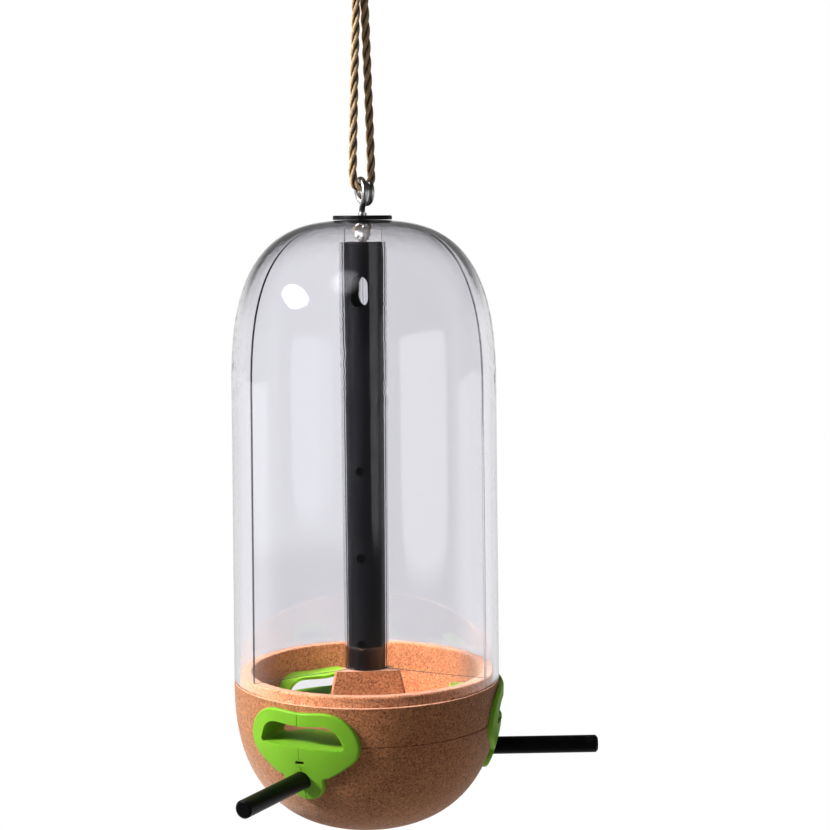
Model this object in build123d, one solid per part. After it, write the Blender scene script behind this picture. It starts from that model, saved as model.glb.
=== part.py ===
from build123d import *
import os
from math import cos, pi, radians, sin, sqrt, tan

# A hanging bird feeder: a clear dome over a cork base with three feeding ports.
# Millimetres, +Z up.  Heights below are measured up from the bottom of the bowl;
# export() moves every piece down so that the origin is where a hook bears in the
# rope loop.  The first port faces -Y, and turns are degrees about +Z from there.

PORTS = 3
PORT_STEP = 360 / PORTS

# Clearances
FIT = 0.08          # running fit of a dowel or tube in its hole, on the radius
SEAT = 0.1          # between pieces that sit on or in each other
SHELL_GAP = 0.3     # between curved faces that lie close along each other

# Cork base
BASE_R = 61.1       # outside radius at the shoulder, the widest place
BASE_H = 68.2       # height of the shoulder that the dome's rim stands over
BASE_POWER = 2.49   # exponent of the rounded underside; 2 would be an ellipse
JOINT_H = BASE_H - 17.5     # height of the glued joint between bowl and ring
FLOOR_H = BASE_H - 19.9     # floor that the seed lies on
RING_BORE_R = BASE_R - 7.95
LIP_RISE = 4.7      # how far the spigot lip stands inside the dome
LIP_GAP = 0.5       # between the lip and the dome, on the radius
LIP_ROUND = 0.8
JOINT_BEVEL = 0.45  # small bevels that show as the seam line

# The pole's tube
POLE_R = 8.8
POLE_WALL = 1.6

# Three-sided cork hub around the pole
HUB_TOP_R = POLE_R + 9.7    # corner radius at the top
HUB_SPREAD = 6.3    # how much further out the corners are at the floor
HUB_ROUND = 1.5
DIVIDER_TURN = -28  # the hub's corners and the fins above them

# Clear dome and its inner divider
DOME_H = 278.4
DOME_SHOULDER_R = BASE_R - 0.85
CROWN_H = 83.9
CROWN_POWER = 2.97
DOME_WALL = 2.3
RIM_GAP = 0.35      # under the dome's rim
SLEEVE_WALL = 1.3
SLEEVE_FOOT_R = POLE_R + SLEEVE_WALL + 0.35
SLEEVE_TOP_R = SLEEVE_FOOT_R + 0.65
FIN = 1.5
DIVIDER_GAP = 0.4   # above the lip and hub

# Black perforated pole, and the plugs at its ends
POLE_FOOT_H = BASE_H - 42.2
POLE_TURN = 15
SLOT_DROP, SLOT_W, SLOT_L = 21.2, 8.2, 14.4
DRAIN_HEIGHTS = (85, 125, 165)
DRAIN_R = 2.1
PLUG_R = POLE_R - POLE_WALL - SEAT
CAP_FLANGE, CAP_PLUG = 1.4, 9.0
CAP_WELL_R, CAP_WELL = 3.2, 5.0
FOOT_PLUG = 16.0

# Screw from below that draws the pole down into the bowl
SCREW_R, SCREW_LENGTH = 2.4, 27.0
HEAD_R, HEAD_H = 4.75, 3.3
DRIVE_R, DRIVE_DEPTH = 1.7, 1.8
FLAT_WASHER_R, FLAT_WASHER = 7.0, 1.2
RECESS_R, RECESS_H = 8.0, 8.0

# Port frames
PLATE = 2.0         # how far the plate stands out from the cork
PLATE_TOP_H = BASE_H - 2.2
PLATE_DIP = 0.6
LOBE_X = 12.0
SIDE_X, SIDE_H = 27.0, BASE_H - 16.6
ELBOW_X, ELBOW_H = 23.0, BASE_H - 24.9
WAIST_X, WAIST_H = 12.4, BASE_H - 32.0
BOSS_R = 9.8
WAIST_ROUND = 1.6
PLATE_ROUND = 0.7
TUNNEL_WALL = 1.4
WINDOW_FOOT_H = FLOOR_H + SEAT + TUNNEL_WALL
WINDOW_TOP_H = BASE_H - 8.0
WINDOW_FOOT_X, WINDOW_TOP_X = 20.8, 12.0
WINDOW_SHOULDER_X, WINDOW_SHOULDER_H = 19.2, BASE_H - 12.4
WINDOW_DIP = 0.7
WINDOW_CORNER = 1.8
HOOD_REACH = RING_BORE_R - 13.65    # distance of the hood's inner end from the axis
TRAY_REACH = HOOD_REACH - 7.5       # distance of the tray's inner end from the axis
TRAY_INNER_X = 12.0
TRAY_ROUND = 3.0
KEY_H, KEY_W, KEY_L = BASE_H - 25.5, 1.5, 4.3
MOULD_LINE = 0.35   # width and depth of the fine groove above and below the window

# Perches
PERCH_R = 4.0
PERCH_H = BASE_H - 33.7
PERCH_TIP = BASE_R + 46.0    # distance of the outer end from the axis
PERCH_ROOT = BASE_R - 28.6
PERCH_BEVEL = 0.9

# Eye bolt and what is on it
SHANK_R = 1.95
BOLT_HOLE_R = 2.2
DISC_R, DISC = 13.35, 1.85
WASHER_R, WASHER = 4.5, 0.8
NUT_FLATS, NUT_HEX, NUT_COLLAR, NUT_COLLAR_R = 7.0, 3.7, 1.3, 3.1
BOLT_END = 1.2      # below the nut
WIRE_R = 1.4
EYE_TURN = -30      # the way the eye's opening faces
NECK_RISE = 1.2     # shank showing above the disc
# The bent wire: across the eye, along its axis, and up from the neck.
EYE_WIRE = [
    (0.0, 0.0, -1.5), (0.0, -0.2, 1.2), (1.9, -1.0, 3.4), (4.2, -1.5, 5.6), (5.2, -1.6, 9.0),
    (4.2, -1.4, 12.7), (1.4, -0.9, 14.9), (-1.8, -0.5, 14.8), (-4.5, 0.0, 12.4), (-5.2, 0.5, 8.8),
    (-4.0, 1.1, 5.6), (-1.0, 1.8, 4.2), (2.2, 2.1, 4.6), (4.6, 2.0, 6.8), (5.1, 1.9, 9.9), (4.0, 1.9, 13.0),
]

# Rope
ROPE_R = 1.9
STRAND_X = 1.95     # half the spacing of the two strands where they touch
REST_GAP = 0.4      # between the rope and the eye's wire
BEND_X = 4.6
SPREAD_X, SPREAD_RISE = 5.0, 10.25     # where the strands stand widest, above the bend
KNOT_RISE, KNOT, KNOT_R = 88.75, 14.0, 7.7
KNOT_ROUND = 3.0
# Half of the loop above the knot: out from the middle, and up from the knot.
LOOP = [(STRAND_X, 0.0), (3.4, 7.6), (9.2, 15.0), (13.4, 24.2), (12.6, 34.4), (5.4, 42.0)]

LIP_H = BASE_H + LIP_RISE
DIVIDER_H = LIP_H + DIVIDER_GAP
DISC_H = DOME_H + SEAT
NECK_H = DISC_H + DISC + NECK_RISE
CEILING_H = DOME_H - DOME_WALL
WASHER_H = CEILING_H - SEAT - WASHER
NUT_H = WASHER_H - NUT_HEX - NUT_COLLAR
POLE_TOP_H = NUT_H - BOLT_END - CAP_FLANGE
SLOT_H = POLE_TOP_H - SLOT_DROP
EYE_TOP_H = NECK_H + max(z for x, y, z in EYE_WIRE)
BEND_H = EYE_TOP_H - WIRE_R - ROPE_R - REST_GAP
SPREAD_H = BEND_H + SPREAD_RISE
KNOT_H = BEND_H + KNOT_RISE
LOOP_TOP_H = KNOT_H + KNOT + LOOP[-1][1]
HANG_H = LOOP_TOP_H - ROPE_R


def turned(piece, degrees):
    return Rot(0, 0, degrees) * piece


def rod(radius, low, high):
    return Pos(0, 0, low) * Cylinder(radius, high - low, align=(Align.CENTER, Align.CENTER, Align.MIN))


def radial(radius, inner, outer, height):
    """A round bar lying along -Y, from inner to outer distance from the axis."""
    bar = Cylinder(radius, outer - inner, align=(Align.CENTER, Align.CENTER, Align.MIN))
    return Pos(0, -inner, height) * Rot(90, 0, 0) * bar


def hull_curve(radius, rise, power, base, count=12):
    """The curve from (radius, base) to the axis at base + rise, a superellipse."""
    points = []
    for k in range(count + 1):
        angle = (pi / 2) * k / count
        across, up = cos(angle) ** (2 / power), sin(angle) ** (2 / power)
        points.append((radius * across, 0, base + rise * up))
    points[-1] = (0, 0, base + rise)
    start = (0, 0, 1 if rise > 0 else -1)
    return Edge.make_spline([Vector(*p) for p in points], tangents=[Vector(*start), Vector(-1, 0, 0)])


def spun(*edges):
    return revolve(Face(Wire(list(edges))), Axis.Z)


def line(*points):
    return [Edge.make_line(Vector(a[0], 0, a[1]), Vector(b[0], 0, b[1])) for a, b in zip(points, points[1:])]


def underside(grow):
    """The solid inside the base's outer surface, grown outwards, up to above the lip."""
    radius, top = BASE_R + grow, LIP_H + PLATE
    curve = hull_curve(radius, -BASE_H - grow, BASE_POWER, BASE_H)
    return spun(curve, *line((0, -grow), (0, top), (radius, top), (radius, BASE_H)))


def dome_solid(inset):
    """The solid inside the dome's outer surface, shrunk inwards, down to its rim."""
    spring = DOME_H - CROWN_H
    top_r, rim_r, rim = DOME_SHOULDER_R - inset, BASE_R - inset, BASE_H + RIM_GAP
    curve = hull_curve(top_r, CROWN_H - inset, CROWN_POWER, spring)
    return spun(curve, *line((0, DOME_H - inset), (0, rim), (rim_r, rim), (top_r, spring)))


def front_face(edges):
    """A face in the XZ plane from edges given for its right half, which it mirrors."""
    right = Wire(edges)
    left = right.mirror(Plane.YZ)
    return Face(Wire([*right.edges(), *left.edges()]))


def outward(face, start, end):
    """A prism from a face in the XZ plane, between two distances along -Y."""
    return Pos(0, -start, 0) * extrude(face, end - start, dir=(0, -1, 0))


def window_face(grow):
    """The window's outline, grown outwards: flat sill, rounded shoulders, dipped top."""
    foot, top = WINDOW_FOOT_H - grow, WINDOW_TOP_H + grow
    dip = Vector(0, 0, top - WINDOW_DIP)
    lobe = Vector(WINDOW_TOP_X, 0, top)
    shoulder = Vector(WINDOW_SHOULDER_X + grow, 0, WINDOW_SHOULDER_H)
    corner = Vector(WINDOW_FOOT_X + grow, 0, foot + WINDOW_CORNER)
    sill = Vector(WINDOW_FOOT_X + grow - WINDOW_CORNER, 0, foot)
    slope = corner - shoulder
    return front_face([
        Edge.make_spline([dip, lobe], tangents=[Vector(1, 0, 0), Vector(1, 0, 0)]),
        Edge.make_tangent_arc(lobe, Vector(1, 0, 0), shoulder),
        Edge.make_line(shoulder, corner),
        Edge.make_tangent_arc(corner, slope, sill),
        Edge.make_line(sill, Vector(0, 0, foot)),
    ])


def plate_face():
    """The port plate's outline above the perch's boss: two low lobes and wide sides."""
    dip = Vector(0, 0, PLATE_TOP_H - PLATE_DIP)
    lobe = Vector(LOBE_X, 0, PLATE_TOP_H)
    side = Vector(SIDE_X, 0, SIDE_H)
    elbow = Vector(ELBOW_X, 0, ELBOW_H)
    waist = Vector(WAIST_X, 0, WAIST_H)
    flank = Edge.make_tangent_arc(side, Vector(0, 0, -1), elbow)
    return front_face([
        Edge.make_spline([dip, lobe], tangents=[Vector(1, 0, 0), Vector(1, 0, 0)]),
        Edge.make_tangent_arc(lobe, Vector(1, 0, 0), side),
        flank,
        Edge.make_tangent_arc(elbow, flank % 1, waist),
        Edge.make_line(waist, Vector(0, 0, WAIST_H)),
    ])


def port_plate():
    """The plate that follows the cork, with its boss, rounded along its outer edges."""
    boss = radial(BOSS_R, BASE_R / 3, PERCH_TIP, PERCH_H)
    block = outward(plate_face(), BASE_R / 3, PERCH_TIP) + boss
    level = [e for e in block.edges().filter_by(Axis.Y) if abs(e.center().Z - WAIST_H) < 0.01]
    inside_corners = sorted(level, key=lambda e: abs(e.center().X))[:2]
    block = fillet(inside_corners, WAIST_ROUND)
    plate = block & (underside(SEAT + PLATE) - underside(SEAT))
    return rounded_rim(plate)


def rounded_rim(plate):
    """Rounds the edges all around the plate's outer face."""
    inner_and_outer = plate.faces().sort_by(SortBy.AREA)[-2:]
    outer = min(inner_and_outer, key=lambda f: f.center().Y)
    return fillet(outer.edges(), PLATE_ROUND)


def port_frame():
    """The plate with its window, the hood that runs in through the ring and the tray under it."""
    hood = outward(window_face(TUNNEL_WALL), HOOD_REACH, PERCH_TIP) & underside(SEAT + PLATE / 2)
    opening = outward(window_face(0), 0, PERCH_TIP)
    frame = port_plate() + hood - opening + tray()
    key = Pos(0, 0, KEY_H) * Box(KEY_L, 2 * PERCH_TIP, KEY_W)
    return frame - key - mould_line() - radial(PERCH_R + FIT, 0, PERCH_TIP, PERCH_H)


def mould_line():
    """The fine groove down the middle of the plate's face."""
    sheet = Pos(0, -PERCH_TIP, 0) * Box(MOULD_LINE, 2 * PERCH_TIP, 2 * LIP_H)
    return sheet & (underside(SEAT + 2 * PLATE) - underside(SEAT + PLATE - MOULD_LINE))


def tray():
    """The floor that runs on from the hood over the cork, narrower at its inner end."""
    wide = WINDOW_FOOT_X - WINDOW_CORNER
    start = HOOD_REACH + TUNNEL_WALL
    corners = [(-wide, -start), (-TRAY_INNER_X, -TRAY_REACH), (TRAY_INNER_X, -TRAY_REACH), (wide, -start)]
    slab = Pos(0, 0, FLOOR_H + SEAT) * extrude(make_face(Polyline(*corners, close=True)), TUNNEL_WALL)
    inner = slab.edges().filter_by(Axis.Z).sort_by(Axis.Y)[-2:]
    return fillet(inner, TRAY_ROUND)


def port_cuts():
    """What one port takes out of the cork: the hood's hole and the perch's hole."""
    hood = outward(window_face(TUNNEL_WALL + SEAT), TRAY_REACH, PERCH_TIP)
    return [hood, radial(PERCH_R + FIT, PERCH_ROOT - SEAT, PERCH_TIP, PERCH_H)]


def all_port_cuts():
    return [turned(cut, k * PORT_STEP) for k in range(PORTS) for cut in port_cuts()]


def edges_at(piece, radius, height):
    """The round edges of a turned piece at one radius and height."""
    circles = piece.edges().filter_by(GeomType.CIRCLE)
    return [e for e in circles if abs(e.radius - radius) < 0.05 and abs(e.arc_center.Z - height) < 0.05]


def seam():
    """The V groove that the bevels of bowl and ring make around their joint."""
    below = (BASE_H - JOINT_H) / BASE_H
    radius = BASE_R * (1 - below ** BASE_POWER) ** (1 / BASE_POWER)
    corners = [(radius - JOINT_BEVEL, JOINT_H), (radius + 1, JOINT_H - 1 - JOINT_BEVEL),
               (radius + 1, JOINT_H + 1 + JOINT_BEVEL)]
    return spun(*line(*corners, corners[0]))


def cork_bowl():
    """The solid lower part, with the seed floor, the pole's socket and the screw's recess."""
    bowl = (underside(0) & rod(2 * BASE_R, -1, JOINT_H)) - seam()
    holes = [
        rod(RING_BORE_R, FLOOR_H, LIP_H),
        rod(POLE_R + FIT, POLE_FOOT_H - SEAT, LIP_H),
        rod(SCREW_R + 2 * FIT, 0, POLE_FOOT_H),
        rod(RECESS_R, -1, RECESS_H),
    ]
    for hole in holes + all_port_cuts():
        bowl -= hole
    return bowl


def cork_ring():
    """The upper part, with the shoulder under the dome and the lip inside it."""
    lip_r = BASE_R - DOME_WALL - LIP_GAP
    ring = (underside(0) & rod(2 * BASE_R, JOINT_H, BASE_H)) - seam()
    ring = ring + rod(lip_r, BASE_H, LIP_H) - rod(RING_BORE_R, 0, 2 * LIP_H)
    ring = fillet(edges_at(ring, lip_r, LIP_H) + edges_at(ring, RING_BORE_R, LIP_H), LIP_ROUND)
    for cut in all_port_cuts():
        ring -= cut
    return ring


def cork_hub():
    """The three-sided hub that guides the pole, its corners under the fins."""
    foot = Pos(0, 0, FLOOR_H) * RegularPolygon(HUB_TOP_R + HUB_SPREAD, PORTS)
    top = Pos(0, 0, LIP_H) * RegularPolygon(HUB_TOP_R, PORTS)
    block = loft([foot, top])
    ridges = [e for e in block.edges() if abs(e.center().Z - (FLOOR_H + LIP_H) / 2) < 1]
    block = turned(fillet(ridges, HUB_ROUND), DIVIDER_TURN - 90)
    return block - rod(POLE_R + FIT, 0, 2 * LIP_H)


def dome_shell():
    shell = dome_solid(0) - dome_solid(DOME_WALL) - rod(BOLT_HOLE_R, CEILING_H - 1, DOME_H + 1)
    rim = BASE_H + RIM_GAP
    edges = edges_at(shell, BASE_R, rim) + edges_at(shell, BASE_R - DOME_WALL, rim)
    return fillet(edges, DOME_WALL / 4)


def divider():
    """The clear sleeve around the pole, and the fins that part the seed three ways."""
    top = POLE_TOP_H + CAP_FLANGE
    rise = top - DIVIDER_H
    align = (Align.CENTER, Align.CENTER, Align.MIN)
    sleeve = Pos(0, 0, DIVIDER_H) * Cone(SLEEVE_FOOT_R, SLEEVE_TOP_R, rise, align=align)
    inside = [r - SLEEVE_WALL for r in (SLEEVE_FOOT_R, SLEEVE_TOP_R)]
    bore = Pos(0, 0, DIVIDER_H) * Cone(inside[0], inside[1], rise, align=align)
    fin = Pos(0, 0, DIVIDER_H) * Box(2 * BASE_R, FIN, DOME_H, align=(Align.MIN, Align.CENTER, Align.MIN))
    fin &= dome_solid(DOME_WALL + SHELL_GAP)
    fin -= rod(inside[1], 0, DOME_H)
    for k in range(PORTS):
        sleeve += turned(fin, DIVIDER_TURN - 90 + k * PORT_STEP)
    return sleeve - bore


def pole_tube():
    """The black tube, with the oval slot near its top and the drain holes below."""
    tube = rod(POLE_R, POLE_FOOT_H, POLE_TOP_H) - rod(POLE_R - POLE_WALL, 0, DOME_H)
    slot = Rot(90, 0, 0) * extrude(SlotOverall(SLOT_L, SLOT_W, rotation=90), 2 * POLE_R, both=True)
    tube -= turned(Pos(0, 0, SLOT_H) * slot, POLE_TURN)
    for height in DRAIN_HEIGHTS:
        tube -= turned(radial(DRAIN_R, -2 * POLE_R, 2 * POLE_R, height), POLE_TURN)
    return tube


def pole_cap():
    flange = rod(POLE_R, POLE_TOP_H, POLE_TOP_H + CAP_FLANGE)
    flange = fillet(edges_at(flange, POLE_R, POLE_TOP_H + CAP_FLANGE), CAP_FLANGE / 2)
    plug = rod(PLUG_R, POLE_TOP_H - CAP_PLUG, POLE_TOP_H)
    top = POLE_TOP_H + CAP_FLANGE
    return flange + plug - rod(CAP_WELL_R, top - CAP_WELL, top + 1)


def pole_foot():
    plug = rod(PLUG_R, POLE_FOOT_H, POLE_FOOT_H + FOOT_PLUG)
    return plug - rod(SCREW_R + FIT, 0, POLE_FOOT_H + FOOT_PLUG + 1)


def base_screw():
    """A button-head screw with a hexagon socket."""
    seat = RECESS_H - FLAT_WASHER
    head = rod(HEAD_R, seat - HEAD_H, seat)
    head = fillet(edges_at(head, HEAD_R, seat - HEAD_H), HEAD_H * 0.6)
    drive = Pos(0, 0, seat - HEAD_H) * extrude(RegularPolygon(DRIVE_R, 6), DRIVE_DEPTH)
    shank = rod(SCREW_R, seat, seat + SCREW_LENGTH)
    shank = chamfer(edges_at(shank, SCREW_R, seat + SCREW_LENGTH), SCREW_R / 4)
    return head + shank - drive


def base_washer():
    return rod(FLAT_WASHER_R, RECESS_H - FLAT_WASHER, RECESS_H) - rod(SCREW_R + FIT, 0, DOME_H)


def perch():
    stick = radial(PERCH_R, PERCH_ROOT, PERCH_TIP, PERCH_H)
    return chamfer(stick.edges().filter_by(GeomType.CIRCLE), PERCH_BEVEL)


def eye_bolt():
    """The threaded shank and the wire bent round into an eye that a rope can be led into."""
    points = [Vector(x, y, NECK_H + z) for x, y, z in EYE_WIRE]
    path = FilletPolyline(*points, radius=bend_radii(points))
    wire = sweep(path.wire().location_at(0) * Circle(WIRE_R), path)
    wire += Pos(*points[-1]) * Sphere(WIRE_R)
    shank = rod(SHANK_R, NUT_H - BOLT_END, NECK_H)
    return turned(wire, EYE_TURN) + shank


def bend_radii(points):
    """The radius of the arc at each corner of a route, as large as its two runs allow."""
    radii = []
    for a, b, c in zip(points, points[1:], points[2:]):
        before, after = b - a, c - b
        half_turn = radians(before.get_angle(after)) / 2
        radii.append(0.45 * min(before.length, after.length) / tan(half_turn))
    return radii


def cap_disc():
    disc = rod(DISC_R, DISC_H, DISC_H + DISC) - rod(BOLT_HOLE_R, 0, 2 * DOME_H)
    return fillet(edges_at(disc, DISC_R, DISC_H + DISC), DISC / 3)


def nut_washer():
    return rod(WASHER_R, WASHER_H, WASHER_H + WASHER) - rod(SHANK_R + FIT, 0, 2 * DOME_H)


def lock_nut():
    """A hexagon nut with the rounded collar of its nylon insert underneath."""
    size = NUT_FLATS / sqrt(3)
    hexagon = Pos(0, 0, NUT_H + NUT_COLLAR) * extrude(RegularPolygon(size, 6), NUT_HEX)
    bevel_top = NUT_H + NUT_COLLAR + NUT_HEX
    hexagon &= fillet(edges_at(rod(size, NUT_H, bevel_top), size, NUT_H), size - NUT_COLLAR_R)
    return hexagon + rod(NUT_COLLAR_R, NUT_H, NUT_H + NUT_COLLAR) - rod(SHANK_R + FIT, 0, DOME_H)


def rope_tube(name, half_route, base):
    """A rope that runs down one side and up the other, from half of its route."""
    half = [Vector(0, -x, base + z) for x, z in half_route]
    points = half + [Vector(p.X, -p.Y, p.Z) for p in reversed(half)]
    radii = bend_radii(points)
    print(name, "bend radii", [round(r, 1) for r in radii])
    path = FilletPolyline(*points, radius=radii)
    tube = sweep(path.wire().location_at(0) * Circle(ROPE_R), path)
    share = tube.volume / (pi * ROPE_R ** 2 * path.length)
    print(name, "length", round(path.length, 1), "volume ratio", round(share, 4))
    return turned(tube, EYE_TURN)


def hanging_rope():
    return rope_tube("hanging_rope", [(STRAND_X, KNOT_H), (SPREAD_X, SPREAD_H), (BEND_X, BEND_H)], 0)


def rope_loop():
    return rope_tube("rope_loop", LOOP, KNOT_H + KNOT)


def rope_knot():
    knot = rod(KNOT_R, KNOT_H, KNOT_H + KNOT)
    return fillet(knot.edges().filter_by(GeomType.CIRCLE), KNOT_ROUND)


PIECES = {
    "cork_bowl": cork_bowl,
    "cork_ring": cork_ring,
    "cork_hub": cork_hub,
    "dome_shell": dome_shell,
    "divider": divider,
    "pole_tube": pole_tube,
    "pole_cap": pole_cap,
    "pole_foot": pole_foot,
    "base_screw": base_screw,
    "base_washer": base_washer,
    "eye_bolt": eye_bolt,
    "cap_disc": cap_disc,
    "nut_washer": nut_washer,
    "lock_nut": lock_nut,
    "hanging_rope": hanging_rope,
    "rope_knot": rope_knot,
    "rope_loop": rope_loop,
}
REPEATED = {"port_frame": port_frame, "perch": perch}


def export(name, piece):
    export_step(Pos(0, 0, -HANG_H) * piece, f"parts/{name}.step")


os.makedirs("parts", exist_ok=True)
for name, make in PIECES.items():
    export(name, make())
for name, make in REPEATED.items():
    piece = make()
    for k in range(PORTS):
        export(f"{name}_{k + 1}", turned(piece, k * PORT_STEP))
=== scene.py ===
import bpy
from math import cos, pi, radians, sin
from mathutils import Matrix, Vector


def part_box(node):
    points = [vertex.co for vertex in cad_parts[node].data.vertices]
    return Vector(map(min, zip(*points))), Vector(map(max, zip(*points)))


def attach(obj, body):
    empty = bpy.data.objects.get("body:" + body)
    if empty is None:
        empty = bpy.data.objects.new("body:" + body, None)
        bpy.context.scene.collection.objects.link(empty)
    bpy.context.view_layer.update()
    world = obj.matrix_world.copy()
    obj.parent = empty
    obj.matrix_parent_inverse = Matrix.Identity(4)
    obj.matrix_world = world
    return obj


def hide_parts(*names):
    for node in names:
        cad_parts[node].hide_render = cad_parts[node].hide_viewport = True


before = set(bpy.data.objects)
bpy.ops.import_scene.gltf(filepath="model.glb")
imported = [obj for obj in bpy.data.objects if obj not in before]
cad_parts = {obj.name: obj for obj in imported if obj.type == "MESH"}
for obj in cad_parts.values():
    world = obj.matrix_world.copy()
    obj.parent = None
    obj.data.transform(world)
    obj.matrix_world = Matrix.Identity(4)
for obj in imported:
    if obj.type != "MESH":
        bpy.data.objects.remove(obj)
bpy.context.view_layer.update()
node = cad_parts


# --- Hanging rope -------------------------------------------------------------
# A doubled three-strand jute rope.  It comes down from a knot, goes through the
# bolt's eye and back up.  The feeder hangs in the bottom of its U.

ROPE = 0.0038              # diameter
LAY = 0.022                # one full turn of a strand around the rope
STRAND_OUT = 0.262         # a strand's middle from the rope's, as a share of the diameter
STRAND_R = 0.25            # a strand's radius, as a share of the diameter
STRAND_SIDES = 14
STEPS_A_TURN = 40          # points along a strand for each turn
FIBRE_TWIST = 0.55         # one turn of the fibres in a strand, as a share of the lay
FIBRE_STRETCH = 260.0      # how fast the fibres' pattern changes along the rope, per metre
EYE_TURN = radians(-30)    # the way the U faces, about +Z from -Y
LEG_APART = 0.00195        # half the distance of the two legs in the knot
U_WIDE, U_WIDE_RISE, U_FOOT = 0.005, 0.01045, 0.0046    # half widths of the U above and at its bend
KNOT_LOW, KNOT_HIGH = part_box("rope_knot")[0].z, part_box("rope_knot")[1].z
ROPE_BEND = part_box("hanging_rope")[0].z + ROPE / 2


def place(tree, kind, *feeds, **settings):
    """A new node in a tree. A feed is a socket's name or number, with a value or an output."""
    made = tree.nodes.new(kind)
    for name, value in settings.items():
        setattr(made, name, value)
    for name, value in feeds:
        if isinstance(value, bpy.types.NodeSocket):
            tree.links.new(value, made.inputs[name])
        else:
            made.inputs[name].default_value = value
    return made


def sum_of(tree, operation, *values):
    return place(tree, "ShaderNodeMath", *enumerate(values), operation=operation).outputs[0]


def finish_named(name):
    """A new material, its node tree and its Principled shader."""
    finish = bpy.data.materials.new(name)
    finish.use_nodes = True
    tree = finish.node_tree
    return finish, tree, tree.nodes["Principled BSDF"]


def jute_finish():
    """Straw fibres lying along each strand, with painted shade that darkens the grooves between the
    strands.
    """
    finish, tree, shader = finish_named("jute")
    around = place(tree, "ShaderNodeAttribute", attribute_name="around")
    along = place(tree, "ShaderNodeAttribute", attribute_name="along")
    crown = place(tree, "ShaderNodeAttribute", attribute_name="crown")
    turn = sum_of(tree, "MULTIPLY", along.outputs["Fac"], 2 * pi / (LAY * FIBRE_TWIST))
    turned = place(tree, "ShaderNodeVectorRotate", ("Vector", around.outputs["Vector"]),
                   ("Angle", turn), rotation_type="Z_AXIS")
    lift = place(tree, "ShaderNodeCombineXYZ",
                 ("Z", sum_of(tree, "MULTIPLY", along.outputs["Fac"], FIBRE_STRETCH)))
    lie = place(tree, "ShaderNodeVectorMath", (0, turned.outputs[0]), (1, lift.outputs[0]),
                operation="ADD")
    fibres = place(tree, "ShaderNodeTexNoise", ("Vector", lie.outputs[0]), ("Scale", 5.5),
                   ("Detail", 4.0), ("Roughness", 0.7))
    spots = place(tree, "ShaderNodeTexNoise", ("Vector", lie.outputs[0]), ("Scale", 0.9),
                  ("Detail", 2.0))
    straw = place(tree, "ShaderNodeValToRGB", ("Fac", fibres.outputs["Fac"]))
    ramp = straw.color_ramp
    ramp.elements[0].position, ramp.elements[0].color = 0.3, (0.34, 0.19, 0.085, 1)
    ramp.elements[1].position, ramp.elements[1].color = 0.66, (0.97, 0.82, 0.58, 1)
    ramp.elements.new(0.5).color = (0.74, 0.54, 0.33, 1)
    # Painted shade: where a strand's surface turns in towards the rope's middle, down in the
    # grooves, it is mixed towards dark brown.
    painted_groove_shade = place(tree, "ShaderNodeMapRange", ("Value", crown.outputs["Fac"]), ("From Min", -0.25),
                   ("From Max", 0.75), ("To Min", 0.1), ("To Max", 1.0))
    patch = place(tree, "ShaderNodeMapRange", ("Value", spots.outputs["Fac"]), ("From Min", 0.35),
                  ("From Max", 0.65), ("To Min", 0.62), ("To Max", 1.0))
    # The painted groove shade, times the rope's own random darker patches along its length.
    groove_shade_and_patches = sum_of(tree, "MULTIPLY", painted_groove_shade.outputs[0], patch.outputs[0])
    # This dark brown stands for both the painted shade in the grooves and the rope's own darker
    # patches.
    tone = place(tree, "ShaderNodeMix", (0, groove_shade_and_patches), (6, (0.09, 0.042, 0.016, 1)),
                 (7, straw.outputs[0]), data_type="RGBA")
    bump = place(tree, "ShaderNodeBump", ("Height", fibres.outputs["Fac"]), ("Strength", 0.7),
                 ("Distance", 0.00035))
    tree.links.new(tone.outputs[2], shader.inputs["Base Color"])
    tree.links.new(bump.outputs[0], shader.inputs["Normal"])
    shader.inputs["Roughness"].default_value = 0.85
    shader.inputs["Specular IOR Level"].default_value = 0.2
    shader.inputs["Sheen Weight"].default_value = 0.25
    shader.inputs["Sheen Roughness"].default_value = 0.5
    shader.inputs["Sheen Tint"].default_value = (1, 0.85, 0.6, 1)
    return finish


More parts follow.
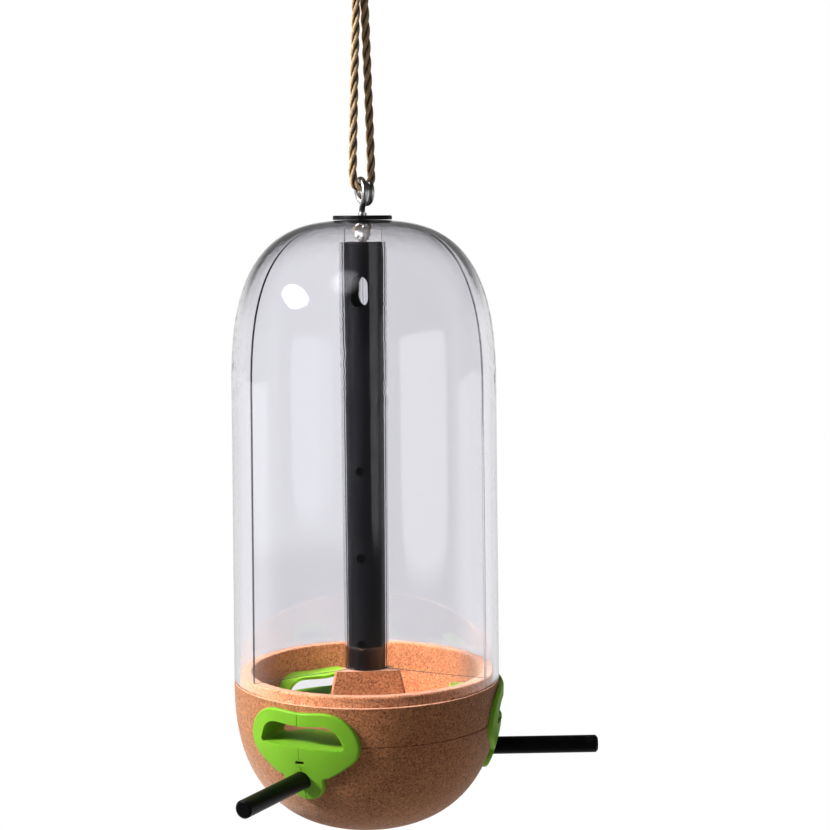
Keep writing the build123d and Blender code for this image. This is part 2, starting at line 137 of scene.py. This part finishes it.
def laid_rope_tree(finish):
    """Three strands that wind around any curve, each a little flattened tube."""
    tree = bpy.data.node_groups.new("laid_rope", "GeometryNodeTree")
    for name, kind in (("Route", "NodeSocketGeometry"), ("Diameter", "NodeSocketFloat"),
                       ("Lay", "NodeSocketFloat"), ("Step", "NodeSocketFloat")):
        tree.interface.new_socket(name, in_out="INPUT", socket_type=kind)
    tree.interface.new_socket("Rope", in_out="OUTPUT", socket_type="NodeSocketGeometry")
    given = tree.nodes.new("NodeGroupInput").outputs
    even = place(tree, "GeometryNodeResampleCurve", ("Curve", given["Route"]),
                 ("Length", given["Step"]), mode="LENGTH")
    parameter = place(tree, "GeometryNodeSplineParameter")
    marked = place(tree, "GeometryNodeStoreNamedAttribute", ("Geometry", even.outputs[0]),
                   ("Name", "along"), ("Value", parameter.outputs["Length"]), data_type="FLOAT",
                   domain="POINT")
    strands = place(tree, "GeometryNodeDuplicateElements", ("Geometry", marked.outputs[0]),
                    ("Amount", 3), domain="SPLINE")
    turns = sum_of(tree, "DIVIDE", parameter.outputs["Length"], given["Lay"])
    wound = sum_of(tree, "MULTIPLY", turns, 2 * pi)
    share = sum_of(tree, "MULTIPLY", strands.outputs["Duplicate Index"], 2 * pi / 3)
    out = place(tree, "ShaderNodeVectorRotate",
                ("Vector", place(tree, "GeometryNodeInputNormal").outputs[0]),
                ("Axis", place(tree, "GeometryNodeInputTangent").outputs[0]),
                ("Angle", sum_of(tree, "ADD", wound, share)))
    kept = place(tree, "GeometryNodeStoreNamedAttribute", ("Geometry", strands.outputs[0]),
                 ("Name", "out"), ("Value", out.outputs[0]), data_type="FLOAT_VECTOR",
                 domain="POINT")
    named = place(tree, "GeometryNodeInputNamedAttribute", ("Name", "out"),
                  data_type="FLOAT_VECTOR")
    reach = sum_of(tree, "MULTIPLY", given["Diameter"], STRAND_OUT)
    step = place(tree, "ShaderNodeVectorMath", (0, named.outputs[0]), ("Scale", reach),
                 operation="SCALE")
    moved = place(tree, "GeometryNodeSetPosition", ("Geometry", kept.outputs[0]),
                  ("Offset", step.outputs[0]))
    ring = place(tree, "GeometryNodeCurvePrimitiveCircle", ("Resolution", STRAND_SIDES),
                 ("Radius", sum_of(tree, "MULTIPLY", given["Diameter"], STRAND_R)))
    spot = place(tree, "GeometryNodeInputPosition")
    unit = place(tree, "ShaderNodeVectorMath", (0, spot.outputs[0]), operation="NORMALIZE")
    rim = place(tree, "GeometryNodeStoreNamedAttribute", ("Geometry", ring.outputs[0]),
                ("Name", "around"), ("Value", unit.outputs[0]), data_type="FLOAT_VECTOR",
                domain="POINT")
    tube = place(tree, "GeometryNodeCurveToMesh", ("Curve", moved.outputs[0]),
                 ("Profile Curve", rim.outputs[0]), ("Fill Caps", True))
    # crown: how far the surface faces out from its strand's middle; the jute finish paints shade
    # into the grooves from it.
    surface = place(tree, "GeometryNodeInputNormal").outputs[0]
    facing = place(tree, "ShaderNodeVectorMath", (0, surface), (1, named.outputs[0]),
                   operation="DOT_PRODUCT")
    crowned = place(tree, "GeometryNodeStoreNamedAttribute", ("Geometry", tube.outputs[0]),
                    ("Name", "crown"), ("Value", facing.outputs["Value"]), data_type="FLOAT",
                    domain="POINT")
    smooth = place(tree, "GeometryNodeSetShadeSmooth", ("Geometry", crowned.outputs[0]))
    real = place(tree, "GeometryNodeRealizeInstances", ("Geometry", smooth.outputs[0]))
    dressed = place(tree, "GeometryNodeSetMaterial", ("Geometry", real.outputs[0]),
                    ("Material", finish))
    place(tree, "NodeGroupOutput", ("Rope", dressed.outputs[0]))
    return tree


def route(name, points):
    """A smooth open curve that has these points as its control points."""
    line = bpy.data.curves.new(name, "CURVE")
    line.dimensions = "3D"
    spline = line.splines.new("NURBS")
    spline.points.add(len(points) - 1)
    for spot, p in zip(spline.points, points):
        spot.co = (*p, 1)
    spline.order_u = 3
    spline.use_endpoint_u = True
    spline.resolution_u = 24
    piece = bpy.data.objects.new(name, line)
    bpy.context.scene.collection.objects.link(piece)
    return piece


def points_of(piece):
    """The points that a curve runs through."""
    bpy.context.view_layer.update()
    seen = piece.evaluated_get(bpy.context.evaluated_depsgraph_get())
    return [v.co.copy() for v in bpy.data.meshes.new_from_object(seen).vertices]


def laid(name, *routes):
    """A piece of laid rope along one or more routes, as a plain mesh."""
    with bpy.context.temp_override(active_object=routes[0], selected_editable_objects=list(routes)):
        if len(routes) > 1:
            bpy.ops.object.join()
    source = routes[0]
    winding = source.modifiers.new("rope", "NODES")
    winding.node_group = LAID_ROPE
    sizes = {"Diameter": ROPE, "Lay": LAY, "Step": LAY / STEPS_A_TURN}
    for item in LAID_ROPE.interface.items_tree:
        if item.name in sizes and item.in_out == "INPUT":
            winding[item.identifier] = sizes[item.name]
    bpy.context.view_layer.update()
    seen = source.evaluated_get(bpy.context.evaluated_depsgraph_get())
    mesh = bpy.data.meshes.new_from_object(seen)
    mesh.name = name
    bpy.data.objects.remove(source)
    piece = bpy.data.objects.new(name, mesh)
    bpy.context.scene.collection.objects.link(piece)
    return piece


def in_eye_plane(x, z):
    """A point across the feeder in the plane that the rope's U lies in."""
    return Vector((-x * sin(EYE_TURN), x * cos(EYE_TURN), z))


JUTE = jute_finish()
LAID_ROPE = laid_rope_tree(JUTE)

half_u = [(LEG_APART, KNOT_LOW), (U_WIDE, ROPE_BEND + U_WIDE_RISE), (U_FOOT, ROPE_BEND)]
u_points = [in_eye_plane(x, z) for x, z in half_u]
u_points += [in_eye_plane(-x, z) for x, z in reversed(half_u)]
u_route = route("rope_route", u_points)
u_path = points_of(u_route)
rope = laid("rope", u_route)
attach(rope, "hanger")
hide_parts("hanging_rope")


# --- Knot and hanging loop ----------------------------------------------------
# The rope's two legs are gathered by round turns, and above them it forms the
# loop that goes over a hook or a branch.

# Half of the loop: out from the middle, and up from the knot.
half_loop = [(LEG_APART, 0), (0.0034, 0.0076), (0.0092, 0.015), (0.0134, 0.0242),
             (0.0126, 0.0344), (0.0054, 0.042)]
loop_points = [in_eye_plane(x, KNOT_HIGH + z) for x, z in half_loop]
loop_points += [in_eye_plane(-x, KNOT_HIGH + z) for x, z in reversed(half_loop)]
loop_route = route("loop_route", loop_points)
loop_path = points_of(loop_route)
loop = laid("rope_hanging_loop", loop_route)
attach(loop, "hanger")
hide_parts("rope_loop")


TURN_R = 0.00575           # of the rope's middle in the round turns
TURNS, POINTS_A_TURN = 2.6, 12
LEG_END = 0.001            # how far the legs run on past the knot


def round_turns():
    """The control points of the turns around both legs, tucked in at each end."""
    low, high = KNOT_LOW + ROPE / 2, KNOT_HIGH - ROPE / 2
    count = int(TURNS * POINTS_A_TURN)
    helix = []
    for k in range(count + 1):
        angle = 2 * pi * k / POINTS_A_TURN
        rise = low + (high - low) * k / count
        helix.append(Vector((TURN_R * cos(angle), TURN_R * sin(angle), rise)))
    first, last = Vector((0.001, -0.002, low + 0.002)), Vector((-0.001, 0.001, high - 0.001))
    return [first] + helix + [last]


def leg_points(x):
    """A leg of the rope through the knot, pressed in a little at its middle."""
    return [in_eye_plane(x, KNOT_LOW - LEG_END), in_eye_plane(x * 0.9, (KNOT_LOW + KNOT_HIGH) / 2),
            in_eye_plane(x, KNOT_HIGH + LEG_END)]


legs = [route(f"leg_{k}", leg_points(x)) for k, x in enumerate((LEG_APART, -LEG_APART))]
knot = laid("rope_turns", route("turns_route", round_turns()), *legs)
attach(knot, "hanger")
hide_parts("rope_knot")


# --- Eye bolt, disc, nut and washer ---------------------------------------------
# Zinc-plated M4 hardware: the bolt's wire is bent into the eye, and the lock nut
# under the dome's top holds it. A black plastic disc lies between.

def effect(name, takes, gives):
    """A new shader node group with these inputs and outputs: its tree, and its inputs by name."""
    tree = bpy.data.node_groups.new(name, "ShaderNodeTree")
    for direction, sockets in (("INPUT", takes), ("OUTPUT", gives)):
        for socket, kind in sockets.items():
            tree.interface.new_socket(socket, in_out=direction, socket_type=f"NodeSocket{kind}")
    return tree, tree.nodes.new("NodeGroupInput").outputs


def grain_effect():
    """Noise that changes the tone, the roughness and the relief of a surface together."""
    takes = {"Place": "Vector", "Scale": "Float", "Low Tone": "Color", "High Tone": "Color",
             "Low Roughness": "Float", "High Roughness": "Float", "Relief": "Float"}
    gives = {"Tone": "Color", "Roughness": "Float", "Normal": "Vector"}
    tree, given = effect("surface_grain", takes, gives)
    noise = place(tree, "ShaderNodeTexNoise", ("Vector", given["Place"]), ("Scale", given["Scale"]),
                  ("Detail", 3.0)).outputs["Fac"]
    tone = place(tree, "ShaderNodeMix", (0, noise), (6, given["Low Tone"]), (7, given["High Tone"]),
                 data_type="RGBA")
    worn = place(tree, "ShaderNodeMapRange", ("Value", noise), ("From Min", 0.3), ("From Max", 0.7),
                 ("To Min", given["Low Roughness"]), ("To Max", given["High Roughness"]))
    bump = place(tree, "ShaderNodeBump", ("Height", noise), ("Strength", given["Relief"]),
                 ("Distance", 0.0001))
    place(tree, "NodeGroupOutput", ("Tone", tone.outputs[2]), ("Roughness", worn.outputs[0]),
          ("Normal", bump.outputs[0]))
    return tree


SURFACE_GRAIN = grain_effect()


def grained_finish(name, scale, tones, roughness, relief, stretch=(1, 1, 1)):
    """A material with that grain, and its shader. Tones and roughness are at the noise's ends."""
    finish, tree, shader = finish_named(name)
    spot = place(tree, "ShaderNodeTexCoord").outputs["Object"]
    drawn = place(tree, "ShaderNodeMapping", ("Vector", spot), ("Scale", stretch))
    grain = place(tree, "ShaderNodeGroup", ("Place", drawn.outputs[0]), ("Scale", scale),
                  ("Low Tone", (*tones[0], 1)), ("High Tone", (*tones[1], 1)),
                  ("Low Roughness", roughness[0]), ("High Roughness", roughness[1]),
                  ("Relief", relief), node_tree=SURFACE_GRAIN)
    tree.links.new(grain.outputs["Tone"], shader.inputs["Base Color"])
    tree.links.new(grain.outputs["Roughness"], shader.inputs["Roughness"])
    tree.links.new(grain.outputs["Normal"], shader.inputs["Normal"])
    return finish, shader


def zinc_finish(name, colour, roughness):
    """Bright plating with faint cloudiness."""
    dull = [c * 0.72 for c in colour]
    finish, shader = grained_finish(name, 420.0, (colour, dull), (roughness * 0.7, roughness * 1.4),
                                    relief=0.15)
    shader.inputs["Metallic"].default_value = 1
    return finish


def black_finish(name, scale, roughness, stretch=(1, 1, 1)):
    """Black plastic. A die or a lathe draws its grain out along one axis."""
    tones = (0.002, 0.002, 0.003), (0.009, 0.009, 0.011)
    finish, shader = grained_finish(name, scale, tones, (roughness * 0.8, roughness * 1.25),
                                    relief=0.25, stretch=stretch)
    shader.inputs["Specular IOR Level"].default_value = 0.3
    return finish


def dress(finish, *names):
    """Gives CAD nodes a finish."""
    for name in names:
        node[name].data.materials.clear()
        node[name].data.materials.append(finish)


dress(zinc_finish("bright_zinc", (0.9, 0.89, 0.87), 0.32), "eye_bolt", "nut_washer", "lock_nut")
dress(black_finish("disc_black", scale=900.0, roughness=0.45), "cap_disc")


# --- Clear dome and its divider -------------------------------------------------
# One blown shell of clear plastic with a faint lilac cast, and a moulded sleeve
# with three fins that stand inside it.

def flow_effect():
    """The faint unevenness of blown or moulded clear plastic, as a normal."""
    tree, given = effect("plastic_flow", {"Place": "Vector"}, {"Normal": "Vector"})
    flow = place(tree, "ShaderNodeTexNoise", ("Vector", given["Place"]), ("Scale", 22.0),
                 ("Detail", 1.0))
    bump = place(tree, "ShaderNodeBump", ("Height", flow.outputs["Fac"]), ("Strength", 0.02),
                 ("Distance", 0.001))
    place(tree, "NodeGroupOutput", ("Normal", bump.outputs[0]))
    return tree


PLASTIC_FLOW = flow_effect()


def clear_finish(name, tint):
    """Clear plastic that lets lamplight through to what it covers."""
    finish, tree, shader = finish_named(name)
    shader.inputs["Base Color"].default_value = (*tint, 1)
    shader.inputs["Roughness"].default_value = 0
    shader.inputs["IOR"].default_value = 1.5
    shader.inputs["Transmission Weight"].default_value = 1
    spot = place(tree, "ShaderNodeTexCoord").outputs["Object"]
    flow = place(tree, "ShaderNodeGroup", ("Place", spot), node_tree=PLASTIC_FLOW)
    tree.links.new(flow.outputs["Normal"], shader.inputs["Normal"])
    through = place(tree, "ShaderNodeBsdfTransparent", ("Color", (*tint, 1)))
    path = place(tree, "ShaderNodeLightPath")
    both = place(tree, "ShaderNodeMixShader", (0, path.outputs["Is Shadow Ray"]),
                 (1, shader.outputs[0]), (2, through.outputs[0]))
    tree.links.new(both.outputs[0], tree.nodes["Material Output"].inputs["Surface"])
    return finish


dress(clear_finish("dome_clear", (0.955, 0.95, 0.975)), "dome_shell")
dress(clear_finish("divider_clear", (0.97, 0.975, 0.98)), "divider")


# --- Pole -----------------------------------------------------------------------
# Extruded black tube with fine lengthwise die lines, plugged at both ends.

dress(black_finish("pole_black", scale=1500.0, roughness=0.42, stretch=(1, 1, 0.02)),
      "pole_tube", "pole_cap", "pole_foot")


# --- Cork base ------------------------------------------------------------------
# Bowl, ring and hub of pressed cork: fine granules, glued and turned, so that
# each shows cut with its own tone and pits show between them.

def cork_finish():
    """Fine granules of nearly one tone, with small dark pits between them."""
    finish, tree, shader = finish_named("pressed_cork")
    spot = place(tree, "ShaderNodeTexCoord").outputs["Object"]
    grains = place(tree, "ShaderNodeTexVoronoi", ("Vector", spot), ("Scale", 1500.0))
    clump = place(tree, "ShaderNodeTexNoise", ("Vector", spot), ("Scale", 170.0),
                  ("Detail", 5.0), ("Roughness", 0.7))
    specks = place(tree, "ShaderNodeTexNoise", ("Vector", spot), ("Scale", 1150.0),
                   ("Detail", 2.0), ("Roughness", 0.6))
    tone = place(tree, "ShaderNodeSeparateColor", ("Color", grains.outputs["Color"]))
    mixed = sum_of(tree, "ADD", sum_of(tree, "MULTIPLY", tone.outputs[0], 0.5),
                   sum_of(tree, "MULTIPLY", clump.outputs["Fac"], 0.5))
    colour = place(tree, "ShaderNodeValToRGB", ("Fac", mixed))
    ramp = colour.color_ramp
    ramp.elements[0].position, ramp.elements[0].color = 0.15, (0.33, 0.128, 0.05, 1)
    ramp.elements[1].position, ramp.elements[1].color = 0.8, (0.64, 0.31, 0.15, 1)
    ramp.elements.new(0.45).color = (0.5, 0.218, 0.094, 1)
    pit = place(tree, "ShaderNodeMapRange", ("Value", specks.outputs["Fac"]), ("From Min", 0.54),
                ("From Max", 0.68), ("To Min", 0.0), ("To Max", 0.8))
    pitted = place(tree, "ShaderNodeMix", (0, pit.outputs[0]), (6, colour.outputs[0]),
                   (7, (0.1, 0.033, 0.013, 1)), data_type="RGBA")
    crowns = sum_of(tree, "MULTIPLY", tone.outputs[1], 0.3)
    bump = place(tree, "ShaderNodeBump",
                 ("Height", sum_of(tree, "SUBTRACT", crowns, pit.outputs[0])), ("Strength", 0.5),
                 ("Distance", 0.0003))
    tree.links.new(pitted.outputs[2], shader.inputs["Base Color"])
    tree.links.new(bump.outputs[0], shader.inputs["Normal"])
    shader.inputs["Roughness"].default_value = 0.7
    shader.inputs["Specular IOR Level"].default_value = 0.35
    shader.inputs["Sheen Weight"].default_value = 0.45
    shader.inputs["Sheen Roughness"].default_value = 0.5
    shader.inputs["Sheen Tint"].default_value = (1, 0.86, 0.78, 1)
    return finish


dress(cork_finish(), "cork_bowl", "cork_ring", "cork_hub")


# --- Ports ----------------------------------------------------------------------
# Lime green moulded plastic, a little see-through, so that thin edges glow.

def green_finish():
    """Satin lime green with faint cloudiness in the colour and a fine moulded grain."""
    finish, tree, shader = finish_named("port_green")
    spot = place(tree, "ShaderNodeTexCoord").outputs["Object"]
    cloud = place(tree, "ShaderNodeTexNoise", ("Vector", spot), ("Scale", 90.0), ("Detail", 2.0))
    tone = place(tree, "ShaderNodeMix", (0, cloud.outputs["Fac"]), (6, (0.25, 0.5, 0.045, 1)),
                 (7, (0.3, 0.57, 0.06, 1)), data_type="RGBA")
    grain = place(tree, "ShaderNodeTexNoise", ("Vector", spot), ("Scale", 1600.0), ("Detail", 2.0))
    bump = place(tree, "ShaderNodeBump", ("Height", grain.outputs["Fac"]), ("Strength", 0.06),
                 ("Distance", 0.0001))
    tree.links.new(tone.outputs[2], shader.inputs["Base Color"])
    tree.links.new(bump.outputs[0], shader.inputs["Normal"])
    shader.inputs["Roughness"].default_value = 0.5
    shader.inputs["Specular IOR Level"].default_value = 0.3
    shader.inputs["Subsurface Weight"].default_value = 0.35
    shader.inputs["Subsurface Radius"].default_value = (0.5, 1.0, 0.15)
    shader.inputs["Subsurface Scale"].default_value = 0.003
    return finish


dress(green_finish(), *(f"port_frame_{k}" for k in (1, 2, 3)))


# --- Perches and base screw -----------------------------------------------------
# Black sticks pushed into the cork, and the zinc-plated screw and washer that
# hold the pole from below.

dress(black_finish("perch_black", scale=1300.0, roughness=0.36), *(f"perch_{k}" for k in (1, 2, 3)))
dress(zinc_finish("screw_zinc", (0.72, 0.72, 0.74), 0.28), "base_screw", "base_washer")


# --- Studio -------------------------------------------------------------------
# A pale floor well below the hanging feeder, soft lamps of which the strongest
# stands high on the left, a white room behind, and the camera.

bowl_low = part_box("cork_bowl")[0].z
VIEW_TURN = radians(27.8)          # the camera stands this far round from the first port
CAMERA_AWAY, CAMERA_RIGHT, CAMERA_UP = 0.8933, 0.0231, 0.28186
CAMERA_PITCH, CAMERA_ROLL = radians(5.905), radians(-0.426)
CAMERA_LENS = 85.34


def camera():
    lens = bpy.data.cameras.new("camera")
    lens.sensor_width, lens.lens = 36, CAMERA_LENS
    lens.clip_start, lens.clip_end = 0.01, 100
    made = bpy.data.objects.new("camera", lens)
    bpy.context.scene.collection.objects.link(made)
    turn = Matrix.Rotation(VIEW_TURN, 4, "Z")
    aim = Matrix.Rotation(pi / 2 - CAMERA_PITCH, 4, "X") @ Matrix.Rotation(CAMERA_ROLL, 4, "Z")
    spot = Matrix.Translation((CAMERA_RIGHT, -CAMERA_AWAY, bowl_low + CAMERA_UP))
    made.matrix_world = turn @ spot @ aim
    bpy.context.scene.camera = made


camera()

MIDDLE = Vector((0, 0, bowl_low + 0.14))    # of the feeder, where every lamp points


def lamp(name, azimuth, elevation, away, width, height, glow, fade, squareness):
    """A soft box that faces the feeder, at an azimuth from the camera, to the right.

    It dims over the outer share "fade" of its half width. A squareness of 2 makes it round.
    """
    light = bpy.data.lights.new(name, "AREA")
    light.shape, light.size, light.size_y = "RECTANGLE", width, height
    light.energy = glow * pi * width * height
    light.use_nodes = True
    tree = light.node_tree
    spot = place(tree, "ShaderNodeNewGeometry").outputs["Parametric"]
    across = place(tree, "ShaderNodeSeparateXYZ", ("Vector", spot))
    reach = []
    for axis in (0, 1):
        centred = sum_of(tree, "MULTIPLY", sum_of(tree, "SUBTRACT", across.outputs[axis], 0.5), 2.0)
        reach.append(sum_of(tree, "POWER", sum_of(tree, "ABSOLUTE", centred), squareness))
    far = sum_of(tree, "POWER", sum_of(tree, "ADD", *reach), 1 / squareness)
    dimmed = place(tree, "ShaderNodeMapRange", ("Value", far), ("From Min", 1.0),
                   ("From Max", 1.0 - fade), ("To Min", 0.0), ("To Max", 1.0),
                   interpolation_type="SMOOTHSTEP")
    tree.links.new(dimmed.outputs[0], tree.nodes["Emission"].inputs["Strength"])
    made = bpy.data.objects.new(name, light)
    bpy.context.scene.collection.objects.link(made)
    turn, rise = VIEW_TURN + radians(azimuth), radians(elevation)
    way = Vector((sin(turn) * cos(rise), -cos(turn) * cos(rise), sin(rise)))
    made.location = MIDDLE + way * away
    made.rotation_euler = way.to_track_quat("Z", "Y").to_euler()
    return made


lamp("key", azimuth=-70, elevation=31, away=1.38, width=0.74, height=0.32, glow=185,
     fade=1.0, squareness=2)
lamp("right", azimuth=54, elevation=2, away=1.6, width=1.4, height=0.75, glow=1.2,
     fade=0.15, squareness=8)
front = lamp("front", azimuth=-22, elevation=50, away=1.4, width=0.7, height=0.7, glow=5,
             fade=0.6, squareness=2)
below = lamp("below", azimuth=0, elevation=-68, away=0.6, width=0.6, height=0.6, glow=1.3,
             fade=0.6, squareness=2)
front.visible_glossy = below.visible_glossy = False

CAMERA_WHITE, THROUGH_WHITE = 1.0, 0.98
ROOM_GLOW, BACKDROP_GLOW = 0.09, 0.85
CEILING_SHARE = 0.2                # of that light, from above
BEHIND = Vector((-sin(VIEW_TURN), cos(VIEW_TURN), 0))


def paper_white(tree, as_light, through_white=THROUGH_WHITE):
    """The strength of the white: seen straight, seen through clear plastic, and as light."""
    path = place(tree, "ShaderNodeLightPath")
    bounces = sum_of(tree, "ADD", path.outputs["Diffuse Depth"], path.outputs["Glossy Depth"])
    straight = sum_of(tree, "LESS_THAN", bounces, 0.5)
    clear = sum_of(tree, "MULTIPLY", straight, path.outputs["Is Transmission Ray"])
    through = place(tree, "ShaderNodeMix", (0, clear), (2, as_light), (3, through_white))
    return place(tree, "ShaderNodeMix", (0, path.outputs["Is Camera Ray"]), (2, through.outputs[0]),
                 (3, CAMERA_WHITE)).outputs[0]


def back_glow(tree, way, near, far):
    """Dim on the camera's side, rising to bright behind the feeder between two distances."""
    back = place(tree, "ShaderNodeVectorMath", (0, way), (1, BEHIND), operation="DOT_PRODUCT")
    return place(tree, "ShaderNodeMapRange", ("Value", back.outputs["Value"]), ("From Min", near),
                 ("From Max", far), ("To Min", ROOM_GLOW), ("To Max", BACKDROP_GLOW),
                 interpolation_type="SMOOTHSTEP").outputs[0]


def floor_finish():
    """White that gives light and takes no shadow."""
    finish, tree, shader = finish_named("pale_floor")
    spot = place(tree, "ShaderNodeTexCoord").outputs["Object"]
    shader.inputs["Base Color"].default_value = (0, 0, 0, 1)
    shader.inputs["Roughness"].default_value = 1
    shader.inputs["Specular IOR Level"].default_value = 0
    shader.inputs["Emission Color"].default_value = (1, 1, 1, 1)
    white = paper_white(tree, back_glow(tree, spot, -0.7, 0.7))
    tree.links.new(white, shader.inputs["Emission Strength"])
    return finish


FLOOR_DROP, FLOOR_HALF = 0.55, 12.0
floor_mesh = bpy.data.meshes.new("floor")
corners = [(x * FLOOR_HALF, y * FLOOR_HALF, bowl_low - FLOOR_DROP)
           for x, y in ((-1, -1), (1, -1), (1, 1), (-1, 1))]
floor_mesh.from_pydata(corners, [], [(0, 1, 2, 3)])
floor_mesh.materials.append(floor_finish())
floor = bpy.data.objects.new("floor", floor_mesh)
bpy.context.scene.collection.objects.link(floor)


def studio_light():
    """A white room, bright behind the feeder, dim on the camera's side and above."""
    world = bpy.data.worlds.new("studio")
    world.use_nodes = True
    bpy.context.scene.world = world
    tree = world.node_tree
    plain = tree.nodes["Background"]
    plain.inputs["Color"].default_value = (1, 1, 1, 1)
    way = place(tree, "ShaderNodeTexCoord").outputs["Generated"]
    height = place(tree, "ShaderNodeSeparateXYZ", ("Vector", way)).outputs["Z"]
    ceiling = place(tree, "ShaderNodeMapRange", ("Value", height), ("From Min", 0.02),
                    ("From Max", 0.28), ("To Min", 1.0), ("To Max", CEILING_SHARE),
                    interpolation_type="SMOOTHSTEP").outputs[0]
    as_light = sum_of(tree, "MULTIPLY", back_glow(tree, way, 0.1, 0.85), ceiling)
    through = sum_of(tree, "MULTIPLY", ceiling, THROUGH_WHITE)
    tree.links.new(paper_white(tree, as_light, through), plain.inputs["Strength"])


studio_light()
bpy.context.scene.view_settings.view_transform = "Standard"
bpy.context.scene.view_settings.gamma = 0.8
